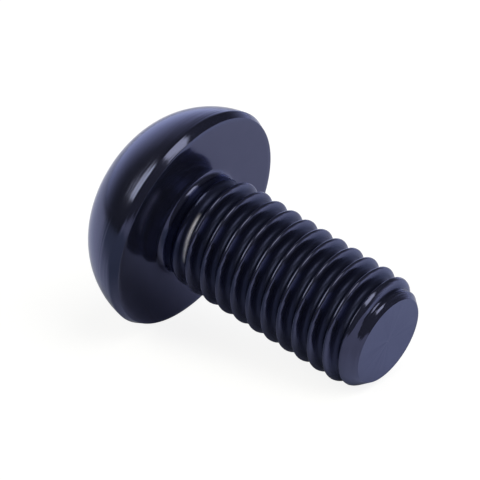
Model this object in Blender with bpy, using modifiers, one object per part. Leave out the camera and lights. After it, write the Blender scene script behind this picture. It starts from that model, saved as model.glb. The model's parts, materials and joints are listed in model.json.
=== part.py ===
"""Disc brake rotor bolt: a black M5 button head screw, 10 mm long, lying at rest.

Metres, +Z up. The bolt is turned about its own Z axis with the bearing face at 0, the shank
up and the head down, and is then laid on its side as it rests on a table: the rim of the
head and the last turns of the thread touch z = 0, and the thread points along +X.
"""

import math

import bmesh
import bpy
from mathutils import Matrix, Vector

# Driving dimensions
HEAD_DIAMETER = 0.0098
HEAD_HEIGHT = 0.0033
DOME_RADIUS = 0.0038
CROWN_DIAMETER = 0.0051
FACE_DIAMETER = 0.0095
BEVEL_HEIGHT = 0.00034

SHANK_LENGTH = 0.01013
NECK_LENGTH = 0.00055
FACE_FILLET = 0.00025

THREAD_DIAMETER = 0.00497
THREAD_PITCH = 0.0008
FLANK_ANGLE = math.radians(30)
CREST_ROUNDING = 0.00009
ROOT_ROUNDING = 0.00019
ROOT_FLAT = 0.00008
RUN_OUT_LENGTH = 0.0006
THREAD_START_TURN = 0.77

TAPER_LENGTH = 0.00103
TAPER_ANGLE = math.radians(15)
TIP_DIAMETER = 0.0038
TIP_BEVEL_ANGLE = math.radians(40)

SOCKET_POINTS_DIAMETER = 0.0045
SOCKET_WAIST_DIAMETER = 0.00327
SOCKET_DEPTH = 0.0019
SOCKET_CONE_DEPTH = 0.0003

# How finely round shapes are divided
SEGMENTS = 44
SOCKET_SEGMENTS = 72
DOME_STEPS = 12
FILLET_STEPS = 4
CREST_STEPS = 3
EMBED = 0.00002
MERGE_DISTANCE = 1e-6

HEAD_RADIUS = HEAD_DIAMETER / 2
FACE_RADIUS = FACE_DIAMETER / 2
CROWN_RADIUS = CROWN_DIAMETER / 2
THREAD_RADIUS = THREAD_DIAMETER / 2
TIP_RADIUS = TIP_DIAMETER / 2
# With sharp corners the thread would be this deep. A round one takes off a share of its radius
SHARP_DEPTH = THREAD_PITCH / 2 / math.tan(FLANK_ANGLE)
CORNER_SHARE = 1 / math.sin(FLANK_ANGLE) - 1
THREAD_DEPTH = SHARP_DEPTH - CORNER_SHARE * (CREST_ROUNDING + ROOT_ROUNDING)
ROOT_RADIUS = THREAD_RADIUS - THREAD_DEPTH
# A thread is rolled on a blank of its pitch diameter, which the plain neck still has
PITCH_LINE_DEPTH = 0.375 * SHARP_DEPTH
NECK_RADIUS = THREAD_RADIUS - PITCH_LINE_DEPTH


def clear_scene():
    for obj in list(bpy.data.objects):
        bpy.data.objects.remove(obj, do_unlink=True)


def make_collection(name):
    collection = bpy.data.collections.new(name)
    bpy.context.scene.collection.children.link(collection)
    return collection


def make_material():
    material = bpy.data.materials.new("black_coated_steel")
    material.use_nodes = True
    shader = material.node_tree.nodes["Principled BSDF"]
    shader.inputs["Base Color"].default_value = (0.022, 0.023, 0.034, 1.0)
    shader.inputs["Metallic"].default_value = 0.9
    shader.inputs["Roughness"].default_value = 0.22
    return material


def helper(obj):
    """Hides a cutter or other guide from the render."""
    obj.hide_render = True
    obj.display_type = "WIRE"
    return obj


def arc(centre, radius, start, end, steps):
    """Points (radius, height) along an arc, both ends included."""
    points = []
    for step in range(steps + 1):
        angle = start + (end - start) * step / steps
        point = (centre[0] + radius * math.cos(angle), centre[1] + radius * math.sin(angle))
        points.append(point)
    return points


def dome_points():
    """The dome, an arc of DOME_RADIUS that bulges outwards from the rim to the crown."""
    rim = Vector((HEAD_RADIUS, -BEVEL_HEIGHT))
    crown = Vector((CROWN_RADIUS, -HEAD_HEIGHT))
    chord = crown - rim
    half = chord.length / 2
    inward = Vector((chord.y, -chord.x)).normalized()
    centre = (rim + crown) / 2 + inward * math.sqrt(DOME_RADIUS**2 - half**2)
    start = math.atan2(rim.y - centre.y, rim.x - centre.x)
    end = math.atan2(crown.y - centre.y, crown.x - centre.x)
    return arc(centre, DOME_RADIUS, start, end, DOME_STEPS)


def core_profile():
    """The bolt without its thread and before its tip is trimmed, down its outer side."""
    neck_drop = NECK_RADIUS - ROOT_RADIUS
    points = [
        (0, SHANK_LENGTH + THREAD_PITCH),
        (ROOT_RADIUS, SHANK_LENGTH + THREAD_PITCH),
        (ROOT_RADIUS, NECK_LENGTH + neck_drop),
        (NECK_RADIUS, NECK_LENGTH),
    ]
    fillet_centre = (NECK_RADIUS + FACE_FILLET, FACE_FILLET)
    points += arc(fillet_centre, FACE_FILLET, math.pi, math.pi * 1.5, FILLET_STEPS)
    points.append((FACE_RADIUS, 0))
    points += dome_points()
    points.append((0, -HEAD_HEIGHT))
    return points


def fade_profile():
    """The space that the thread may fill beside the neck, where it fades in along a cone."""
    inner = ROOT_RADIUS - EMBED / 2
    outer = 2 * THREAD_RADIUS - inner
    start = NECK_LENGTH - RUN_OUT_LENGTH / 2
    end = SHANK_LENGTH + 2 * THREAD_PITCH
    return [
        (0, end),
        (outer, end),
        (outer, start + 2 * RUN_OUT_LENGTH),
        (inner, start),
        (0, start),
    ]


def trim_profile():
    """Everything inside the flat tip, its bevel and the slight taper that leads up to it.

    The taper's cone is carried on to clear the thread, and a wide drum takes in the rest.
    """
    outer = HEAD_RADIUS + THREAD_RADIUS
    bevel_slope = math.tan(TIP_BEVEL_ANGLE)
    taper_slope = math.tan(TAPER_ANGLE)
    taper_end = THREAD_RADIUS - TAPER_LENGTH * taper_slope
    bevel_height = (taper_end - TIP_RADIUS) / (bevel_slope - taper_slope)
    clear = THREAD_DEPTH / 2
    drum_top = SHANK_LENGTH - TAPER_LENGTH - clear / taper_slope
    return [
        (0, SHANK_LENGTH),
        (TIP_RADIUS, SHANK_LENGTH),
        (TIP_RADIUS + bevel_height * bevel_slope, SHANK_LENGTH - bevel_height),
        (THREAD_RADIUS + clear, drum_top),
        (outer, drum_top),
        (outer, -HEAD_HEIGHT - THREAD_PITCH),
        (0, -HEAD_HEIGHT - THREAD_PITCH),
    ]


def ridge_section():
    """The thread's section as a closed outline: a round crest, flanks and flared feet.

    The feet follow the round root, and are sunk a little into the core.
    """
    flank_turn = math.pi / 2 - FLANK_ANGLE
    crest_centre = (THREAD_RADIUS - CREST_ROUNDING, 0)
    crest = arc(crest_centre, CREST_ROUNDING, flank_turn, -flank_turn, CREST_STEPS)
    foot = (ROOT_RADIUS - EMBED, (THREAD_PITCH - ROOT_FLAT) / 2)
    heel_radius = ROOT_RADIUS + ROOT_ROUNDING * (1 - math.cos(flank_turn))
    heel = (heel_radius, THREAD_PITCH / 2 - ROOT_ROUNDING * math.sin(flank_turn))
    side = [foot, heel]
    other_side = [(radius, -height) for radius, height in reversed(side)]
    return side + crest + other_side


def outline_object(name, points, closed, collection):
    """A line of edges in the XZ plane, from points (radius, height)."""
    mesh = bpy.data.meshes.new(name)
    edges = [(index, index + 1) for index in range(len(points) - 1)]
    if closed:
        edges.append((len(points) - 1, 0))
    mesh.from_pydata([(radius, 0, height) for radius, height in points], edges, [])
    obj = bpy.data.objects.new(name, mesh)
    collection.objects.link(obj)
    return obj


def turn(obj, segments):
    """Turns the outline once about Z. The half step puts a flat, not an edge, lowest."""
    obj.data.transform(Matrix.Rotation(math.pi / segments, 4, "Z"))
    screw = obj.modifiers.new("turn", "SCREW")
    screw.steps = segments
    screw.render_steps = segments
    screw.use_merge_vertices = True
    screw.merge_threshold = MERGE_DISTANCE


def mesh_from(obj):
    """The mesh that the object's modifiers make."""
    bpy.context.view_layer.update()
    graph = bpy.context.evaluated_depsgraph_get()
    return bpy.data.meshes.new_from_object(obj.evaluated_get(graph))


def bake(obj):
    """Replaces the object's mesh by what its modifiers make of it."""
    mesh = mesh_from(obj)
    obj.modifiers.clear()
    obj.data = mesh


def thread_ridge(collection):
    """A right-hand helix of the thread's section, longer than the shank at both ends."""
    ridge = outline_object("thread_ridge", ridge_section(), True, collection)
    turns = math.ceil(SHANK_LENGTH / THREAD_PITCH) + 2
    start = Matrix.Translation((0, 0, -THREAD_PITCH))
    angle = math.pi / SEGMENTS + 2 * math.pi * round(THREAD_START_TURN * SEGMENTS) / SEGMENTS
    ridge.data.transform(start @ Matrix.Rotation(angle, 4, "Z"))
    screw = ridge.modifiers.new("helix", "SCREW")
    screw.steps = SEGMENTS
    screw.render_steps = SEGMENTS
    screw.screw_offset = THREAD_PITCH
    screw.iterations = turns
    bake(ridge)
    close_ends(ridge.data)
    return helper(ridge)


def close_ends(mesh):
    """Caps the open ends and turns all faces outwards."""
    shape = bmesh.new()
    shape.from_mesh(mesh)
    bmesh.ops.remove_doubles(shape, verts=shape.verts, dist=MERGE_DISTANCE)
    open_edges = [edge for edge in shape.edges if edge.is_boundary]
    bmesh.ops.holes_fill(shape, edges=open_edges, sides=0)
    bmesh.ops.recalc_face_normals(shape, faces=shape.faces)
    shape.to_mesh(mesh)
    shape.free()


def socket_cutter(collection):
    """A six-lobed prism with a shallow cone at its inner end, sunk into the crown."""
    mean = (SOCKET_POINTS_DIAMETER + SOCKET_WAIST_DIAMETER) / 4
    wave = (SOCKET_POINTS_DIAMETER - SOCKET_WAIST_DIAMETER) / 4
    shape = bmesh.new()
    bmesh.ops.create_circle(shape, cap_ends=True, segments=SOCKET_SEGMENTS, radius=1)
    for vertex in shape.verts:
        lobe = math.cos(6 * math.atan2(vertex.co.y, vertex.co.x))
        vertex.co *= mean + wave * lobe
    mouth = shape.faces[:]
    floor = bmesh.ops.extrude_face_region(shape, geom=mouth)["geom"]
    floor_vertices = [item for item in floor if isinstance(item, bmesh.types.BMVert)]
    floor_faces = [item for item in floor if isinstance(item, bmesh.types.BMFace)]
    height = SOCKET_DEPTH + EMBED
    bmesh.ops.translate(shape, verts=floor_vertices, vec=(0, 0, height))
    centre = bmesh.ops.poke(shape, faces=floor_faces)["verts"]
    bmesh.ops.translate(shape, verts=centre, vec=(0, 0, SOCKET_CONE_DEPTH))
    bmesh.ops.translate(shape, verts=shape.verts, vec=(0, 0, -HEAD_HEIGHT - EMBED))
    bmesh.ops.recalc_face_normals(shape, faces=shape.faces)
    mesh = bpy.data.meshes.new("socket_cutter")
    shape.to_mesh(mesh)
    shape.free()
    obj = bpy.data.objects.new("socket_cutter", mesh)
    collection.objects.link(obj)
    return helper(obj)


def weld(mesh):
    """Merges the points that the cuts leave within MERGE_DISTANCE of each other."""
    shape = bmesh.new()
    shape.from_mesh(mesh)
    bmesh.ops.remove_doubles(shape, verts=shape.verts, dist=MERGE_DISTANCE)
    bmesh.ops.dissolve_degenerate(shape, edges=shape.edges, dist=MERGE_DISTANCE)
    shape.to_mesh(mesh)
    shape.free()


def boolean(obj, other, operation):
    modifier = obj.modifiers.new(operation.lower(), "BOOLEAN")
    modifier.operation = operation
    modifier.object = other
    modifier.solver = "EXACT"


def resting_tilt(mesh):
    """The angle by which the thread end dips when the rim and the thread touch the floor.

    The mesh has its shank along +X, and the rim of the head lies at the lowest z.
    """
    rim = min((vertex.co for vertex in mesh.vertices), key=lambda point: point.z)
    slopes = []
    for vertex in mesh.vertices:
        if vertex.co.x > rim.x + THREAD_PITCH:
            slopes.append(math.atan2(vertex.co.z - rim.z, vertex.co.x - rim.x))
    return min(slopes)


def lay_down(bolt):
    """Lays the finished mesh on z = 0, with the middle of its footprint at the origin."""
    mesh = bolt.data
    mesh.transform(Matrix.Rotation(math.pi / 2, 4, "Y"))
    mesh.transform(Matrix.Rotation(resting_tilt(mesh), 4, "Y"))
    low = Vector(min(vertex.co[axis] for vertex in mesh.vertices) for axis in range(3))
    high = Vector(max(vertex.co[axis] for vertex in mesh.vertices) for axis in range(3))
    middle = (low + high) / 2
    mesh.transform(Matrix.Translation((-middle.x, -middle.y, -low.z)))


def turned_helper(name, points, collection):
    obj = outline_object(name, points, False, collection)
    turn(obj, SEGMENTS)
    bake(obj)
    return helper(obj)


def make_bolt(parts, cutters):
    ridge = thread_ridge(cutters)
    boolean(ridge, turned_helper("thread_fade", fade_profile(), cutters), "INTERSECT")
    bake(ridge)

    bolt = outline_object("bolt", core_profile(), False, parts)
    turn(bolt, SEGMENTS)
    bake(bolt)
    boolean(bolt, ridge, "UNION")
    boolean(bolt, turned_helper("tip_trim", trim_profile(), cutters), "INTERSECT")
    boolean(bolt, socket_cutter(cutters), "DIFFERENCE")
    bake(bolt)
    weld(bolt.data)
    lay_down(bolt)
    bolt.data.materials.clear()
    bolt.data.materials.append(make_material())
    bolt.data.shade_smooth()
    bolt.data.set_sharp_from_angle(angle=math.radians(25))


clear_scene()
parts_collection = make_collection("disc_brake_rotor_bolt")
cutters_collection = make_collection("cutters")
make_bolt(parts_collection, cutters_collection)
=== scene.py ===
"""Looks of the disc brake rotor bolt: a black coated M5 button head screw lying on a white table.

Metres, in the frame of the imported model. The bolt is one smooth closed surface. It is made in
millimetres in the bolt's own frame (its axis is Z, the bearing face is at 0, the tip is up)
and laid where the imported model's bearing face says.
"""

import json
import math

import bpy
import numpy as np
from mathutils import Matrix, Vector


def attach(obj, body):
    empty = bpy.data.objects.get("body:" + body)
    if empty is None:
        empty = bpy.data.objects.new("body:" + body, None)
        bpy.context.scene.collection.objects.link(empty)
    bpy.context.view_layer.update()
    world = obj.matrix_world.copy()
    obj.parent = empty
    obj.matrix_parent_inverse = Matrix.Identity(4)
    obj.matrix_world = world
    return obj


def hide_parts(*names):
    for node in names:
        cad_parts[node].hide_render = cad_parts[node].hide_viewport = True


MM = 0.001
TAU = 2 * math.pi

# The head. All of the bolt's sizes are in millimetres
HEAD_RADIUS = 4.9
HEAD_HEIGHT = 3.3
DOME_RADIUS = 3.8
CROWN_RADIUS = 2.55
FACE_RADIUS = 4.75
BEVEL_HEIGHT = 0.34

# The shank
SHANK_LENGTH = 10.13
NECK_LENGTH = 0.35
NECK_RADIUS = 2.225
FACE_FILLET = 0.25

# The thread
THREAD_RADIUS = 2.485
PITCH = 0.8
FLANK_ANGLE = math.radians(30)
CREST_ROUNDING = 0.09
ROOT_ROUNDING = 0.19
THREAD_START_TURN = 0.784
RUN_OUT_END = 1.2
# With sharp corners the thread would be this deep. A round one takes off a share of its radius
SHARP_DEPTH = PITCH / 2 / math.tan(FLANK_ANGLE)
CORNER_SHARE = 1 / math.sin(FLANK_ANGLE) - 1
THREAD_DEPTH = SHARP_DEPTH - CORNER_SHARE * (CREST_ROUNDING + ROOT_ROUNDING)

# The tip: a slight taper that cuts the last crest, then the bevel, with rounded edges
TAPER_START = 9.1
TAPER_ANGLE = math.radians(15)
TIP_RADIUS = 1.9
TIP_BEVEL_ANGLE = math.radians(40)
TRIM_ROUNDING = 0.1

# The six-lobe socket. Its outline is a small arc round each lobe and a wider one between lobes
SOCKET_POINTS_RADIUS = 2.25
SOCKET_WAIST_RADIUS = 1.635
LOBE_TURN = TAU / 6
LOBE_RADIUS = 0.383
LOBE_END = math.radians(10.46)
WAIST_ARC_RADIUS = 0.994
SOCKET_DEPTH = 1.9
SOCKET_CONE_DEPTH = 0.3

# How finely the surface is divided
COLUMNS = 224
ROWS_PER_PITCH = 24
DOME_ROWS = 40
FILLET_ROWS = 7
SOCKET_WALL_ROWS = 8
SOCKET_FLOOR_SHARES = (1, 0.75, 0.5, 0.25)
NORMAL_STEP = 0.002
SHARP_EDGE_ANGLE = math.radians(50)
COLUMN_ANGLES = np.arange(COLUMNS) * TAU / COLUMNS
SHANK_ROWS = round((SHANK_LENGTH - FACE_FILLET) / PITCH * ROWS_PER_PITCH)
SHANK_HEIGHTS = np.linspace(SHANK_LENGTH, FACE_FILLET, SHANK_ROWS)

# The rows of the flat faces, and the (height, radius) of the rows that soften the head's edges
TIP_FACE_RADII = (0.6, 1.3, TIP_RADIUS - 0.06)
BEARING_FACE_RADII = (2.9, 3.4, 4.0, 4.5, FACE_RADIUS - 0.03)
FACE_EDGE_ROWS = [(-0.008, FACE_RADIUS - 0.008), (-0.03, FACE_RADIUS + 0.012)]
RIM_ROWS = [(0.03 - BEVEL_HEIGHT, HEAD_RADIUS - 0.014)]
CROWN_INSETS = (0.04, 0.1)
SOCKET_MOUTH_EDGE = 0.03
SOCKET_MOUTH_CUT = 0.01
SOCKET_WALL_START = 0.04
SOCKET_FLOOR_EDGE = 0.03

# The coating's colours and gloss
COATING_DARK = (0.083, 0.089, 0.164, 1)
COATING_PALE = (0.1, 0.107, 0.192, 1)
# Painted shade: the coating is drawn darker the deeper the grooves go
GROOVE_PAINTED_SHADE = (0.038, 0.043, 0.092, 1)
EDGE_TINT = (0.75, 0.79, 1, 1)
METALLIC = 0.9
HEAD_ROUGHNESS = 0.13
DOME_HAZE = 0.05
CREST_ROUGHNESS = 0.14
GROOVE_ROUGHNESS = 0.42
ROUGHNESS_PATCHES = 0.05

# The coating's relief: how high its grain, its rolling streaks and its turning marks are
GRAIN_HEIGHT = 0.0008
STREAK_HEIGHT = 0.0025
TURNED_HEIGHT = 0.016
TIP_TURNED_HEIGHT = 0.024

# How fine the patterns are. Two numbers are for a pattern drawn out round the bolt: how fine
# it is around and lengthwise
MOTTLE_SCALE = 1.1
PATCH_SCALE = 2.3
GRAIN_SCALE = 7
STREAK_SCALES = (3, 9)
TURNED_SCALES = (1.5, 9)

# Where each part of the surface begins and where it is in full, in height or in groove depth
THREAD_FROM_FACE = (0, FACE_FILLET)
THREAD_FROM_TIP = (SHANK_LENGTH - 0.2, SHANK_LENGTH - 0.35)
# Where the painted shade of the grooves begins and is in full; the tip's turning marks keep out of
# the grooves
GROOVE_DEPTHS = (0.05, 0.22)
ROOT_DEPTHS = (0.14, 0.3)
GROOVES_FROM_FACE = (0.12, 0.32)
DOME_FROM_RIM = (-BEVEL_HEIGHT - 0.05, -BEVEL_HEIGHT - 0.2)
TURNED_FROM_CROWN = (-1.6, -0.5)
TURNED_FROM_FACE = (-0.002, -0.02)
TURNED_FROM_THREAD = (SHANK_LENGTH - 1.1, SHANK_LENGTH - 0.8)

# A pale line along the first full groove: worn coating, and a painted highlight on it. Its place
# and width are in turns of the thread, and its ends are angles. It is in full where its strength,
# times the gain, passes 1, and it is broken where the streaks are low
WEAR_AND_GLINT_COLOUR = (0.95, 0.92, 1, 1)
WEAR_AND_GLINT_METALLIC_LOSS = 0.9
WEAR_AND_GLINT_TURN = 1.49
WEAR_AND_GLINT_WIDTH = 0.07
WEAR_AND_GLINT_ENDS = (math.radians(222), math.radians(288))
WEAR_AND_GLINT_GAIN = 1.8
WEAR_AND_GLINT_STREAKS = (0.1, 0.35)

# The camera, fitted to the photo
CAMERA_AZIMUTH = -51.695
CAMERA_ELEVATION = 23.707
CAMERA_DISTANCE = 171.49 * MM
CAMERA_TARGET = Vector((-1.621, 0.885, 3.975)) * MM
CAMERA_CLIP = (0.01, 10)
LENS = 315.3
SENSOR_WIDTH = 36

# The table as the bolt mirrors it, painted with light and shade: white, greyer on the camera's
# side, which the room leaves in the shade, dimmer behind the bolt, and fading dark far off
TABLE = 1.5
TABLE_HEAD_SIDE = (0.98, 0.97, 1, 1)
TABLE_BEHIND = (0.73, 0.72, 0.75, 1)
TABLE_TIP_SIDE = (0.84, 0.87, 0.95, 1)
TABLE_NEAR_HEAD = (0.21, 0.24, 0.29, 1)
TABLE_NEAR_TIP = (0.5, 0.5, 0.56, 1)
TABLE_FAR_OFF = (0.04, 0.04, 0.045, 1)
TABLE_FAR_SIDE = (-0.25, 0.97, 0)
TABLE_FADE = (-7 * MM, 0)
TABLE_SIDE_FADE = (3 * MM, 7 * MM)
TABLE_DARK_AZIMUTH = 250
TABLE_DARK_FADE = (30 * MM, 150 * MM)
SEEN_COLOUR = (0.87, 0.87, 0.87, 1)
SHADOW_COLOUR = (0.2, 0.2, 0.2, 1)

# The room and its backdrop. Directions are azimuth and elevation in degrees, and each fade is
# given by how well a ray agrees with a direction
ROOM_COLOUR = (0.035, 0.035, 0.04, 1)
ROOM_FRONT_COLOUR = (0.065, 0.065, 0.07, 1)
ROOM_FRONT = (-60, 0)
ROOM_FRONT_FADE = (-0.1, 0.8)
BACKDROP_COLOUR = (1.25, 1.28, 1.37, 1)
BACKDROP_MIDDLE = (101.5, -25)
BACKDROP_SIDES = (-0.2, 0.65)
BACKDROP_TOP = (70, 55)
BACKDROP_HEIGHT = (0.88, 0.31)
SEEN_BACKDROP = (1, 1, 1, 1)
LAMP_DISTANCE = 0.6


def smooth_min(a, b, rounding):
    """The smaller of a and b, with the crease where they cross rounded off."""
    reach = np.clip(0.5 + 0.5 * (b - a) / rounding, 0, 1)
    return b + (a - b) * reach - rounding * reach * (1 - reach)


def thread_radius(z, angle):
    """The radius of the full thread: straight flanks between a round crest and a round root."""
    phase = z / PITCH - angle / TAU + THREAD_START_TURN
    from_crest = np.abs((phase + 0.5) % 1 - 0.5) * PITCH
    from_root = PITCH / 2 - from_crest
    drop = from_crest / math.tan(FLANK_ANGLE) - CORNER_SHARE * CREST_ROUNDING
    crest = CREST_ROUNDING - np.sqrt(np.maximum(CREST_ROUNDING**2 - from_crest**2, 0))
    drop = np.where(from_crest < CREST_ROUNDING * math.cos(FLANK_ANGLE), crest, drop)
    lift = ROOT_ROUNDING - np.sqrt(np.maximum(ROOT_ROUNDING**2 - from_root**2, 0))
    rounded = from_root < ROOT_ROUNDING * math.cos(FLANK_ANGLE)
    return THREAD_RADIUS - np.where(rounded, THREAD_DEPTH - lift, drop)


def tip_limit(z):
    """The taper and the bevel that cut the thread back towards the tip."""
    taper = THREAD_RADIUS - (z - TAPER_START) * math.tan(TAPER_ANGLE)
    bevel = TIP_RADIUS + (SHANK_LENGTH - z) * math.tan(TIP_BEVEL_ANGLE)
    return smooth_min(taper, bevel, TRIM_ROUNDING)


def shank_radius(z, angle):
    """The plain neck, from which the rolled thread rises and sinks, as far as the tip allows."""
    share = np.clip((z - NECK_LENGTH) / (RUN_OUT_END - NECK_LENGTH), 0, 1)
    share = share * share * (3 - 2 * share)
    thread = NECK_RADIUS + (thread_radius(z, angle) - NECK_RADIUS) * share
    return smooth_min(thread, tip_limit(z), TRIM_ROUNDING)


def shank_normals(z, angle):
    """The outward normals of the shank's true surface."""
    step = NORMAL_STEP
    radius = shank_radius(z, angle)
    rise = (shank_radius(z + step, angle) - shank_radius(z - step, angle)) / (2 * step)
    swing = shank_radius(z, angle + step) - shank_radius(z, angle - step)
    swing = swing / (2 * step * radius)
    cos, sin = np.cos(angle), np.sin(angle)
    normal = np.stack([cos + swing * sin, sin - swing * cos, -rise], 1)
    return normal / np.linalg.norm(normal, axis=1, keepdims=True)


def arc(centre, radius, start, end, steps):
    """Rows (height, radius) along an arc, both ends included."""
    angles = np.linspace(start, end, steps)
    return [(centre[0] + radius * math.cos(a), centre[1] + radius * math.sin(a)) for a in angles]


def dome_rows():
    """The dome, an arc of DOME_RADIUS from the rim to the crown."""
    rim = Vector((-BEVEL_HEIGHT, HEAD_RADIUS))
    crown = Vector((-HEAD_HEIGHT, CROWN_RADIUS))
    chord = crown - rim
    inward = Vector((-chord.y, chord.x)).normalized()
    reach = math.sqrt(DOME_RADIUS**2 - (chord.length / 2) ** 2)
    centre = (rim + crown) / 2 + inward * reach
    start = math.atan2(rim.y - centre.y, rim.x - centre.x)
    end = math.atan2(crown.y - centre.y, crown.x - centre.x)
    return arc(centre, DOME_RADIUS, start, end, DOME_ROWS)


def head_rows():
    """The neck's fillet, the bearing face, the bevel, the dome and the flat crown."""
    centre = (FACE_FILLET, NECK_RADIUS + FACE_FILLET)
    rows = arc(centre, FACE_FILLET, 1.5 * math.pi, math.pi, FILLET_ROWS)[1:]
    rows += [(0, radius) for radius in BEARING_FACE_RADII]
    rows += FACE_EDGE_ROWS + RIM_ROWS + dome_rows()
    rows += [(-HEAD_HEIGHT, CROWN_RADIUS - inset) for inset in CROWN_INSETS]
    return rows


def socket_outline(angle):
    """The socket's radius: small arcs round six lobes, joined by wider arcs that bulge inwards."""
    half = LOBE_TURN / 2
    off_lobe = np.abs((angle + half) % LOBE_TURN - half)
    off_waist = half - off_lobe
    reach = SOCKET_POINTS_RADIUS - LOBE_RADIUS
    room = np.maximum(LOBE_RADIUS**2 - (reach * np.sin(off_lobe)) ** 2, 0)
    lobe = reach * np.cos(off_lobe) + np.sqrt(room)
    reach = SOCKET_WAIST_RADIUS + WAIST_ARC_RADIUS
    room = np.maximum(WAIST_ARC_RADIUS**2 - (reach * np.sin(off_waist)) ** 2, 0)
    waist = reach * np.cos(off_waist) - np.sqrt(room)
    return np.where(off_lobe < LOBE_END, lobe, waist)


def socket_rows():
    """The socket's softened mouth, its straight walls, and its floor, a shallow cone."""
    outline = socket_outline(COLUMN_ANGLES)
    floor = SOCKET_DEPTH - HEAD_HEIGHT
    rows = [(-HEAD_HEIGHT, outline + SOCKET_MOUTH_EDGE)]
    rows.append((SOCKET_MOUTH_CUT - HEAD_HEIGHT, outline + SOCKET_MOUTH_CUT))
    start, end = SOCKET_WALL_START - HEAD_HEIGHT, floor - SOCKET_FLOOR_EDGE
    rows += [(z, outline) for z in np.linspace(start, end, SOCKET_WALL_ROWS)]
    for share in SOCKET_FLOOR_SHARES:
        radius = (outline - SOCKET_FLOOR_EDGE) * share
        rows.append((floor + SOCKET_CONE_DEPTH * (1 - radius / SOCKET_POINTS_RADIUS), radius))
    return rows


def bolt_rows():
    """The surface as rows (height, radius) round the axis, from the tip down to the socket.

    In the shank and the socket these differ from column to column.
    """
    rows = [(SHANK_LENGTH, radius) for radius in TIP_FACE_RADII]
    rows += [(z, shank_radius(z, COLUMN_ANGLES)) for z in SHANK_HEIGHTS]
    return rows + head_rows() + socket_rows()


def ring(height, radius):
    """The points of one row."""
    heights = height * np.ones(COLUMNS)
    return np.stack([radius * np.cos(COLUMN_ANGLES), radius * np.sin(COLUMN_ANGLES), heights], 1)


def bolt_mesh():
    """One closed surface: the rows joined by four-sided faces, with a fan at each end."""
    rings = [ring(height, radius) for height, radius in bolt_rows()]
    tip_centre = (0, 0, SHANK_LENGTH)
    socket_centre = (0, 0, SOCKET_DEPTH + SOCKET_CONE_DEPTH - HEAD_HEIGHT)
    points = np.concatenate(rings + [[tip_centre], [socket_centre]]) * MM
    last = (len(rings) - 1) * COLUMNS
    first_fan = last + COLUMNS
    faces = []
    for column in range(COLUMNS):
        after = (column + 1) % COLUMNS
        faces.append((first_fan, column, after))
        for here in range(0, last, COLUMNS):
            below = here + COLUMNS
            faces.append((here + column, below + column, below + after, here + after))
        faces.append((first_fan + 1, last + after, last + column))
    mesh = bpy.data.meshes.new("bolt_surface")
    mesh.from_pydata(points.tolist(), [], faces)
    mesh.shade_smooth()
    mesh.set_sharp_from_angle(angle=SHARP_EDGE_ANGLE)
    smooth_shank(mesh)
    add_places(mesh, points / MM)
    return mesh


def smooth_shank(mesh):
    """Gives the shank the normals of the true surface in place of its small faces' own.

    The rows next to the tip's face and to the fillet keep theirs.
    """
    skipped = 2
    inner = SHANK_HEIGHTS[skipped:-1]
    first = (len(TIP_FACE_RADII) + skipped) * COLUMNS
    exact = np.concatenate([shank_normals(z, COLUMN_ANGLES) for z in inner])
    normals = np.empty(len(mesh.loops) * 3)
    mesh.corner_normals.foreach_get("vector", normals)
    normals = normals.reshape(-1, 3)
    corners = np.empty(len(mesh.loops), dtype=np.int32)
    mesh.loops.foreach_get("vertex_index", corners)
    shank = (corners >= first) & (corners < first + len(exact))
    normals[shank] = exact[corners[shank] - first]
    mesh.normals_split_custom_set(normals.tolist())


def add_places(mesh, points):
    """Stores where each point lies on the bolt, how deep in a groove, and how strong its pale line
    is: worn coating and a painted highlight.
    """
    place = mesh.attributes.new("bolt_place", "FLOAT_VECTOR", "POINT")
    place.data.foreach_set("vector", points.ravel())
    x, y, z = points.T
    on_shank = (z > 0) & (z < SHANK_LENGTH)
    depth = mesh.attributes.new("groove_depth", "FLOAT", "POINT")
    depth.data.foreach_set("value", np.where(on_shank, groove_depth(z, np.hypot(x, y)), 0))
    # The pale line along the first groove: worn coating, and a painted highlight
    wear_and_glint = mesh.attributes.new("wear_and_glint", "FLOAT", "POINT")
    wear_and_glint.data.foreach_set("value", wear_and_glint_strength(z, np.arctan2(y, x) % TAU) * on_shank)


def groove_depth(z, radius):
    """How far a point of the shank lies below the crests, from the neck's fillet on."""
    start, end = GROOVES_FROM_FACE
    off_fillet = np.clip((z - start) / (end - start), 0, 1)
    return np.maximum(np.minimum(THREAD_RADIUS, tip_limit(z)) - radius, 0) * off_fillet


def wear_and_glint_strength(z, angle):
    """The pale line of worn coating and painted highlight, from 0 to 1: soft across its width, and
    fading out at both ends.
    """
    off_line = (z / PITCH - angle / TAU + THREAD_START_TURN - WEAR_AND_GLINT_TURN) / WEAR_AND_GLINT_WIDTH
    start, end = WEAR_AND_GLINT_ENDS
    share = np.clip((angle - start) / (end - start), 0, 1)
    between_ends = 4 * share * (1 - share)
    return np.minimum(WEAR_AND_GLINT_GAIN * np.exp(-(off_line**2)) * between_ends, 1)


def placement(mount):
    """The bolt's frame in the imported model's: Z along the mount's axis, X pointing down."""
    axis = Vector(mount["axis"]).normalized()
    side = Vector((0, 1, 0))
    down = side.cross(axis)
    turn = Matrix((down, side, axis)).transposed().to_4x4()
    point = Vector(mount["pos_m"])
    return Matrix.Translation((point.x, 0, point.z)) @ turn


def feed(tree, socket, value):
    """Gives a node's input a constant, or links another node's output to it."""
    if isinstance(value, bpy.types.NodeSocket):
        tree.links.new(value, socket)
    else:
        socket.default_value = value


def attribute(tree, name, output):
    """What the mesh stores under a name."""
    node = tree.nodes.new("ShaderNodeAttribute")
    node.attribute_name = name
    return node.outputs[output]


def noise(tree, place, scale, detail):
    """A soft random pattern, from 0 to 1."""
    node = tree.nodes.new("ShaderNodeTexNoise")
    node.inputs["Scale"].default_value = scale
    node.inputs["Detail"].default_value = detail
    tree.links.new(place, node.inputs["Vector"])
    return node.outputs["Fac"]


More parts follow.
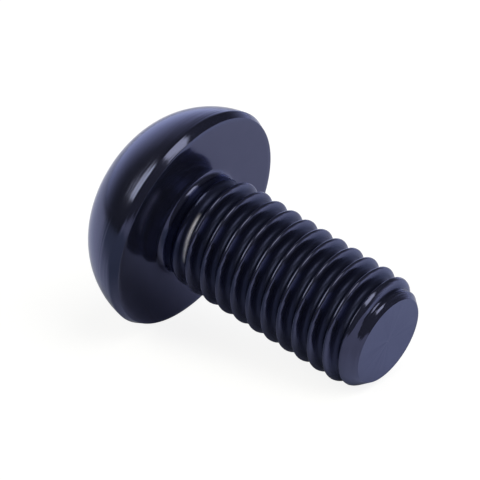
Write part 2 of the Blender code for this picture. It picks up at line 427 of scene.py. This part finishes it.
def math_node(tree, operation, first, second):
    """A sum or product of two numbers."""
    node = tree.nodes.new("ShaderNodeMath")
    node.operation = operation
    feed(tree, node.inputs[0], first)
    feed(tree, node.inputs[1], second)
    return node.outputs["Value"]


def add(tree, first, second):
    return math_node(tree, "ADD", first, second)


def multiply(tree, first, second):
    return math_node(tree, "MULTIPLY", first, second)


def less(tree, first, second):
    return math_node(tree, "SUBTRACT", first, second)


def scaled(tree, vector, factors):
    """A vector with each of its parts multiplied by its own factor."""
    node = tree.nodes.new("ShaderNodeVectorMath")
    node.operation = "MULTIPLY"
    tree.links.new(vector, node.inputs[0])
    node.inputs[1].default_value = factors
    return node.outputs["Vector"]


def along(tree, vector, axis):
    """How far a vector reaches along an axis."""
    node = tree.nodes.new("ShaderNodeVectorMath")
    node.operation = "DOT_PRODUCT"
    node.inputs[1].default_value = axis
    tree.links.new(vector, node.inputs[0])
    return node.outputs["Value"]


def ramp_between(tree, value, low, high):
    """A smooth rise from 0 at low to 1 at high."""
    node = tree.nodes.new("ShaderNodeMapRange")
    node.interpolation_type = "SMOOTHSTEP"
    node.inputs["From Min"].default_value = low
    node.inputs["From Max"].default_value = high
    tree.links.new(value, node.inputs["Value"])
    return node.outputs["Result"]


def mix_colours(tree, share, first, second):
    """The first colour where share is 0 and the second where it is 1."""
    node = tree.nodes.new("ShaderNodeMix")
    node.data_type = "RGBA"
    tree.links.new(share, node.inputs["Factor"])
    colours = [socket for socket in node.inputs if socket.type == "RGBA"]
    feed(tree, colours[0], first)
    feed(tree, colours[1], second)
    return next(socket for socket in node.outputs if socket.type == "RGBA")


def mix_shaders(tree, share, first, second):
    """The first shader where share is 0 and the second where it is 1."""
    node = tree.nodes.new("ShaderNodeMixShader")
    for socket, value in zip(node.inputs, (share, first, second)):
        tree.links.new(value, socket)
    return node.outputs["Shader"]


def rolled_noise(tree, place, scales, detail):
    """A pattern drawn out round the bolt, as rolling and turning draw the metal's marks."""
    around, lengthwise = scales
    level = tree.nodes.new("ShaderNodeVectorMath")
    level.operation = "NORMALIZE"
    tree.links.new(scaled(tree, place, (1, 1, 0)), level.inputs[0])
    rolled = tree.nodes.new("ShaderNodeVectorMath")
    rolled.operation = "ADD"
    tree.links.new(scaled(tree, level.outputs["Vector"], (around, around, 0)), rolled.inputs[0])
    tree.links.new(scaled(tree, place, (0, 0, lengthwise)), rolled.inputs[1])
    return noise(tree, rolled.outputs["Vector"], 1, detail)


def coating_colour(tree, place, groove, wear_and_glint):
    """Blue-black with a faint mottle, painted shade darkening the grooves, and a pale line along
    the first groove that is worn coating and a painted highlight.
    """
    mottle = noise(tree, place, MOTTLE_SCALE, 3)
    coating = mix_colours(tree, mottle, COATING_DARK, COATING_PALE)
    # Painted shade: a darker coating down in the grooves
    coating = mix_colours(tree, groove, coating, GROOVE_PAINTED_SHADE)
    # The pale line: worn coating and a painted highlight
    return mix_colours(tree, wear_and_glint, coating, WEAR_AND_GLINT_COLOUR)


def coating_roughness(tree, place, height, depth, on_thread):
    """Smooth on the head, a little hazy on the dome, and duller down in the grooves."""
    crest = multiply(tree, on_thread, CREST_ROUGHNESS - HEAD_ROUGHNESS)
    root = ramp_between(tree, depth, *ROOT_DEPTHS)
    duller = multiply(tree, root, GROOVE_ROUGHNESS - CREST_ROUGHNESS)
    hazier = multiply(tree, ramp_between(tree, height, *DOME_FROM_RIM), DOME_HAZE)
    patches = multiply(tree, noise(tree, place, PATCH_SCALE, 2), ROUGHNESS_PATCHES)
    roughness = add(tree, crest, HEAD_ROUGHNESS - ROUGHNESS_PATCHES / 2)
    for part in (duller, hazier, patches):
        roughness = add(tree, roughness, part)
    return roughness


def coating_relief(tree, place, height, on_thread, groove, streaks):
    """Fine grain, rolling streaks on the thread, and turning marks on the rim and the tip.

    The relief is in units of the grain's height.
    """
    rolled = multiply(tree, streaks, multiply(tree, on_thread, STREAK_HEIGHT / GRAIN_HEIGHT))
    relief = add(tree, noise(tree, place, GRAIN_SCALE, 3), rolled)
    from_crown = ramp_between(tree, height, *TURNED_FROM_CROWN)
    from_face = ramp_between(tree, height, *TURNED_FROM_FACE)
    rim = multiply(tree, from_crown, from_face)
    from_thread = ramp_between(tree, height, *TURNED_FROM_THREAD)
    tip = multiply(tree, from_thread, less(tree, 1, groove))
    tip = multiply(tree, tip, TIP_TURNED_HEIGHT / TURNED_HEIGHT)
    weight = multiply(tree, add(tree, rim, tip), TURNED_HEIGHT / GRAIN_HEIGHT)
    turned = rolled_noise(tree, place, TURNED_SCALES, 2)
    return add(tree, relief, multiply(tree, turned, weight))


def black_coating():
    """Glossy blue-black plating: a dim mirror, smooth on the head and duller on the thread."""
    material = bpy.data.materials.new("black_coated_steel")
    material.use_nodes = True
    tree = material.node_tree
    shader = tree.nodes["Principled BSDF"]
    shader.inputs["Specular Tint"].default_value = EDGE_TINT

    place = attribute(tree, "bolt_place", "Vector")
    depth = attribute(tree, "groove_depth", "Fac")
    height = along(tree, place, (0, 0, 1))
    from_face = ramp_between(tree, height, *THREAD_FROM_FACE)
    from_tip = ramp_between(tree, height, *THREAD_FROM_TIP)
    on_thread = multiply(tree, from_face, from_tip)
    groove = ramp_between(tree, depth, *GROOVE_DEPTHS)
    streaks = rolled_noise(tree, place, STREAK_SCALES, 3)
    unbroken = ramp_between(tree, streaks, *WEAR_AND_GLINT_STREAKS)
    # The pale line of worn coating and painted highlight, broken where the streaks are low; it
    # loses its metal there
    wear_and_glint = multiply(tree, attribute(tree, "wear_and_glint", "Fac"), unbroken)

    metallic = less(tree, METALLIC, multiply(tree, wear_and_glint, WEAR_AND_GLINT_METALLIC_LOSS))
    bump = tree.nodes.new("ShaderNodeBump")
    bump.inputs["Strength"].default_value = 1
    bump.inputs["Distance"].default_value = GRAIN_HEIGHT * MM
    relief = coating_relief(tree, place, height, on_thread, groove, streaks)
    feed(tree, bump.inputs["Height"], relief)
    feed(tree, shader.inputs["Base Color"], coating_colour(tree, place, groove, wear_and_glint))
    feed(tree, shader.inputs["Metallic"], metallic)
    roughness = coating_roughness(tree, place, height, depth, on_thread)
    feed(tree, shader.inputs["Roughness"], roughness)
    feed(tree, shader.inputs["Normal"], bump.outputs["Normal"])
    return material


def new_object(name, data):
    """An object in the scene, of a mesh, a lamp or a camera."""
    made = bpy.data.objects.new(name, data)
    bpy.context.scene.collection.objects.link(made)
    return made


def make_bolt(frame):
    """The bolt, laid where the bearing face says and lowered or raised onto the table."""
    mounts = frame["record"]["mounts"]
    bearing_face = next(mount for mount in mounts if mount["name"] == "bearing_face")
    mesh = bolt_mesh()
    mesh.transform(placement(bearing_face))
    lowest = min(vertex.co.z for vertex in mesh.vertices)
    mesh.transform(Matrix.Translation((0, 0, -lowest)))
    mesh.materials.append(black_coating())
    bolt = new_object("rotor_bolt", mesh)
    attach(bolt, "root")
    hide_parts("bolt")


def direction(azimuth, elevation):
    """The unit vector towards an azimuth and elevation in degrees, from +X towards +Y."""
    azimuth = math.radians(azimuth)
    elevation = math.radians(elevation)
    level = math.cos(elevation)
    return Vector((level * math.cos(azimuth), level * math.sin(azimuth), math.sin(elevation)))


def look_back(item, target, away, distance):
    """Puts a lamp or the camera at a distance from its target, facing it."""
    item.location = target + away * distance
    item.rotation_euler = away.to_track_quat("Z", "Y").to_euler()


def table_light_and_shade(tree):
    """Painted light and shade on the table, which the bolt mirrors: it is lighter or darker all
    round the bolt.
    """
    place = tree.nodes.new("ShaderNodeTexCoord").outputs["Object"]
    far_side = ramp_between(tree, along(tree, place, TABLE_FAR_SIDE), *TABLE_FADE)
    tip_side = ramp_between(tree, along(tree, place, (1, 0, 0)), *TABLE_SIDE_FADE)
    head_side = ramp_between(tree, along(tree, place, (-1, 0, 0)), *TABLE_SIDE_FADE)
    away = along(tree, place, direction(TABLE_DARK_AZIMUTH, 0))
    dark = ramp_between(tree, away, *TABLE_DARK_FADE)
    far_colour = mix_colours(tree, tip_side, TABLE_BEHIND, TABLE_TIP_SIDE)
    far_colour = mix_colours(tree, head_side, far_colour, TABLE_HEAD_SIDE)
    near_colour = mix_colours(tree, tip_side, TABLE_NEAR_HEAD, TABLE_NEAR_TIP)
    colour = mix_colours(tree, far_side, near_colour, far_colour)
    return mix_colours(tree, dark, colour, TABLE_FAR_OFF)


def white_floor():
    """A wide table, which the camera sees white, with the bolt's soft shadow, and which the bolt
    mirrors with painted light and shade.
    """
    mesh = bpy.data.meshes.new("table")
    corners = [(-TABLE, -TABLE, 0), (TABLE, -TABLE, 0), (TABLE, TABLE, 0), (-TABLE, TABLE, 0)]
    mesh.from_pydata(corners, [], [(0, 1, 2, 3)])
    floor = new_object("table", mesh)
    material = bpy.data.materials.new("white_table")
    material.use_nodes = True
    tree = material.node_tree
    tree.nodes.remove(tree.nodes["Principled BSDF"])
    lit = tree.nodes.new("ShaderNodeBsdfDiffuse")
    # Rays that the bolt mirrors see painted light and shade on the table
    tree.links.new(table_light_and_shade(tree), lit.inputs["Color"])
    shadow = tree.nodes.new("ShaderNodeBsdfDiffuse")
    shadow.inputs["Color"].default_value = SHADOW_COLOUR
    own = tree.nodes.new("ShaderNodeEmission")
    own.inputs["Color"].default_value = SEEN_COLOUR
    seen = tree.nodes.new("ShaderNodeAddShader")
    tree.links.new(own.outputs["Emission"], seen.inputs[0])
    tree.links.new(shadow.outputs["BSDF"], seen.inputs[1])
    camera_ray = tree.nodes.new("ShaderNodeLightPath").outputs["Is Camera Ray"]
    table = mix_shaders(tree, camera_ray, lit.outputs["BSDF"], seen.outputs["Shader"])
    tree.links.new(table, tree.nodes["Material Output"].inputs["Surface"])
    mesh.materials.append(material)


def studio_world():
    """A dim room with a pale backdrop behind the bolt. The camera sees it plain white."""
    world = bpy.data.worlds.new("studio")
    bpy.context.scene.world = world
    world.use_nodes = True
    tree = world.node_tree
    ray = tree.nodes.new("ShaderNodeTexCoord").outputs["Generated"]
    sideways = ramp_between(tree, along(tree, ray, direction(*BACKDROP_MIDDLE)), *BACKDROP_SIDES)
    upwards = ramp_between(tree, along(tree, ray, direction(*BACKDROP_TOP)), *BACKDROP_HEIGHT)
    front = ramp_between(tree, along(tree, ray, direction(*ROOM_FRONT)), *ROOM_FRONT_FADE)
    room = mix_colours(tree, front, ROOM_COLOUR, ROOM_FRONT_COLOUR)
    backdrop = multiply(tree, sideways, upwards)
    mirrored = tree.nodes["Background"]
    tree.links.new(mix_colours(tree, backdrop, room, BACKDROP_COLOUR), mirrored.inputs["Color"])
    seen = tree.nodes.new("ShaderNodeBackground")
    seen.inputs["Color"].default_value = SEEN_BACKDROP
    camera_ray = tree.nodes.new("ShaderNodeLightPath").outputs["Is Camera Ray"]
    both = mix_shaders(tree, camera_ray, mirrored.outputs["Background"], seen.outputs["Background"])
    tree.links.new(both, tree.nodes["World Output"].inputs["Surface"])


def soft_box(name, azimuth, elevation, spread, level, colour):
    """A lamp that covers spread degrees, wide and high, of the bolt's surroundings.

    level is how bright it looks beside a white of 1.
    """
    lamp = bpy.data.lights.new(name, "AREA")
    lamp.shape = "RECTANGLE"
    lamp.size = 2 * LAMP_DISTANCE * math.tan(math.radians(spread[0] / 2))
    lamp.size_y = 2 * LAMP_DISTANCE * math.tan(math.radians(spread[1] / 2))
    lamp.energy = level * math.pi * lamp.size * lamp.size_y
    lamp.color = colour
    box = new_object(name, lamp)
    look_back(box, Vector(), direction(azimuth, elevation), LAMP_DISTANCE)
    box.visible_camera = False
    return box


def make_lamps():
    """Two lamps that the bolt mirrors, and one that it doesn't, which only lights the table."""
    left = {"azimuth": 235.4, "elevation": 41.5, "spread": (36, 32)}
    soft_box("left_box", **left, level=2.7, colour=(1, 1, 0.78))
    right = {"azimuth": -5, "elevation": 58, "spread": (26, 32)}
    soft_box("right_box", **right, level=2.3, colour=(1, 0.98, 0.8))
    above = {"azimuth": 20, "elevation": 50, "spread": (70, 70)}
    table_light = soft_box("table_light", **above, level=1.62, colour=(1, 1, 1))
    table_light.visible_glossy = False


def make_camera():
    """The camera, where the photo was taken from."""
    data = bpy.data.cameras.new("photo_view")
    data.lens = LENS
    data.sensor_width = SENSOR_WIDTH
    data.clip_start, data.clip_end = CAMERA_CLIP
    camera = new_object("photo_view", data)
    away = direction(CAMERA_AZIMUTH, CAMERA_ELEVATION)
    look_back(camera, CAMERA_TARGET, away, CAMERA_DISTANCE)
    bpy.context.scene.camera = camera


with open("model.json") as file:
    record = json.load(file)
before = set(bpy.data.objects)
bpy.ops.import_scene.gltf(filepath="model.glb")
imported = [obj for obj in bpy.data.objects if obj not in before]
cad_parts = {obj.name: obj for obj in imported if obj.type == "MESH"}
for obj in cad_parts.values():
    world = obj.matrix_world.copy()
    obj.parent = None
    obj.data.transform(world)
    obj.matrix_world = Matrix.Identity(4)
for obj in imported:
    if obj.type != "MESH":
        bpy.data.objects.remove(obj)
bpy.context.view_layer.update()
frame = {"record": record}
make_camera()
make_bolt(frame)
white_floor()
studio_world()
make_lamps()
bpy.context.scene.view_settings.view_transform = "Standard"
